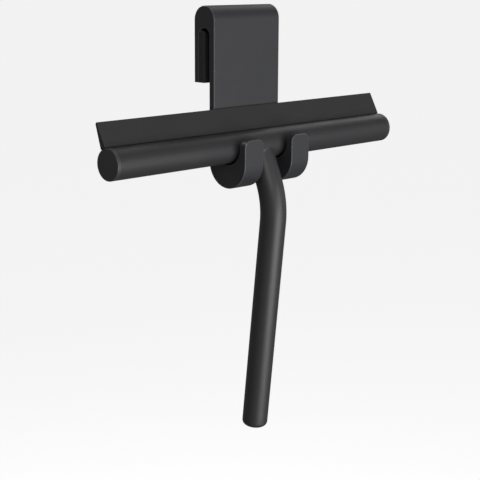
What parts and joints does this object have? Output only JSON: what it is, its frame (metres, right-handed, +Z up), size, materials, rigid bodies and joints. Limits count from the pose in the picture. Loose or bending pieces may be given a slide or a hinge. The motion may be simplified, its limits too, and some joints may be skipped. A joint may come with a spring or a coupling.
{
  "type": "window squeegee with hanger",
  "caption": "T-shaped window squeegee with a bent round handle, resting in a hook-over hanger for the top edge of a glass panel.",
  "frame": {"origin": "seat of the hanger: halfway along its width, on the rear face of its front plate, level with the top of its slot", "axes": "+X along the squeegee's head, +Y into the glass panel that the hanger hooks over, +Z up"},
  "size_m": [0.265, 0.0545, 0.2994],
  "materials": {
    "hanger_plastic": "moulded, fine matte",
    "pad_rubber": "soft, matte",
    "head_coating": "matte black coat on aluminium",
    "blade_silicone": "smooth silicone, satin",
    "cap_plastic": "moulded, matte",
    "grip_silicone": "smooth silicone, satin",
    "steel_parts": "plain steel",
    "inner_plastic": "moulded"
  },
  "bodies": {
    "hanger": {"hanger_bracket": "hanger_plastic", "rear_pad": "pad_rubber"},
    "squeegee": {"head_tube": "head_coating", "wiper_blade": "blade_silicone", "end_cap_left": "cap_plastic", "end_cap_right": "cap_plastic", "saddle_nut": "steel_parts", "neck_stud": "steel_parts", "neck_saddle": "inner_plastic", "spring_washer": "steel_parts", "neck_insert": "steel_parts", "handle_core": "steel_parts", "core_end_plug": "inner_plastic", "handle_sleeve": "grip_silicone"}
  },
  "joints": [
    {"name": "squeegee_lift", "type": "slide", "parent": "hanger", "child": "squeegee", "axis": [0, -0.2588, 0.9659], "range_m": [0, 0.12]}
  ]
}
